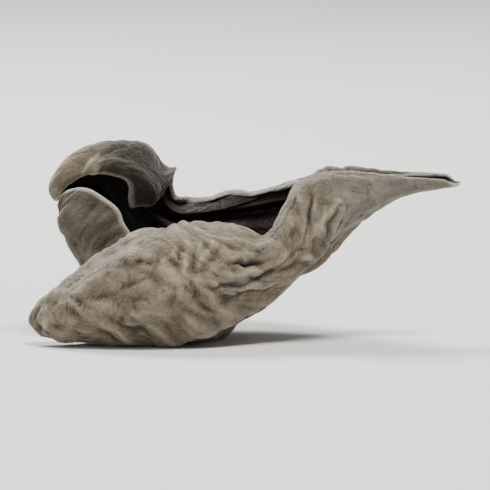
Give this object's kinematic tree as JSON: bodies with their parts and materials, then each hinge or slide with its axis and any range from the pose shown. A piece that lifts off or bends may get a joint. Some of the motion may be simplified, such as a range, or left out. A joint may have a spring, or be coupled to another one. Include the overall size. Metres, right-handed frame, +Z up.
{
  "type": "dried wood ear mushroom",
  "caption": "Dried wood ear mushroom, grown as one thin sheet: a rolled front margin, an open dark trough, a back wall curled into a hood and a pinched foot held in the air.",
  "frame": {"origin": "centre of the bounding box at its bottom, on the surface that the ear rests on", "axes": "+X towards the pinched foot, -Y towards the rolled front margin, +Z up"},
  "size_m": [0.0284, 0.0188, 0.013],
  "materials": {
    "velvet_tan": "dry, matt and velvety outside; smooth, dark brown and slightly glossy inside"
  },
  "bodies": {
    "root": {"wood_ear": "velvet_tan"}
  },
  "joints": []
}
